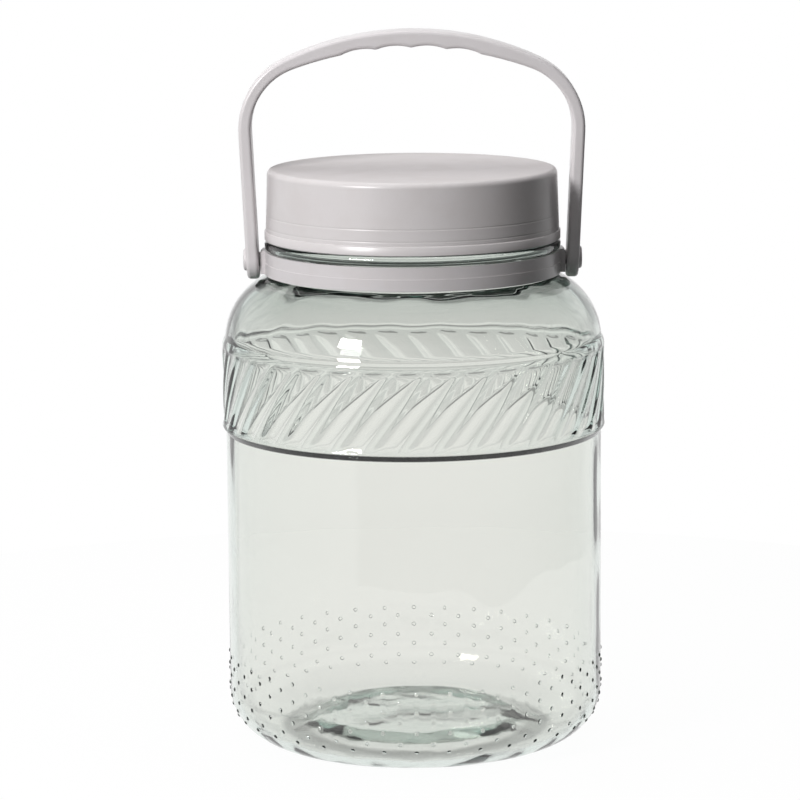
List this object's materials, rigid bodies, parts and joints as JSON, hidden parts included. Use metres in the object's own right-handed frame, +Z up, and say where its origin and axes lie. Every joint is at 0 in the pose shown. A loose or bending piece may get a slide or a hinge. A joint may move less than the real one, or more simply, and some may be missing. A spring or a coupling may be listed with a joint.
{
  "type": "fermentation jar",
  "caption": "Wide-neck glass fermentation jar with a fluted band, a screw lid, and a neck collar that carries a swinging bail handle.",
  "frame": {"origin": "on the jar's axis, in the plane of the table it stands on", "axes": "+Z up along the jar's axis; the handle's two pivots lie along X; the front is -Y"},
  "size_m": [0.2103, 0.2102, 0.391],
  "materials": {
    "glass": "clear, faintly green soda-lime glass, polished",
    "lid_plastic": "pale lilac-grey moulded plastic, glossy wall and finely matt top",
    "collar_plastic": "pale lilac-grey moulded plastic, glossy",
    "handle_plastic": "pale lilac-grey moulded plastic, satin gloss"
  },
  "bodies": {
    "root": {"jar": "glass", "lid": "lid_plastic", "collar": "collar_plastic"},
    "handle": {"handle": "handle_plastic"}
  },
  "joints": [
    {"name": "handle_swing", "type": "hinge", "parent": "root", "child": "handle", "pos_m": [0, 0, 0.2662], "axis": [1, 0, 0], "range_deg": [-96, 96]}
  ]
}
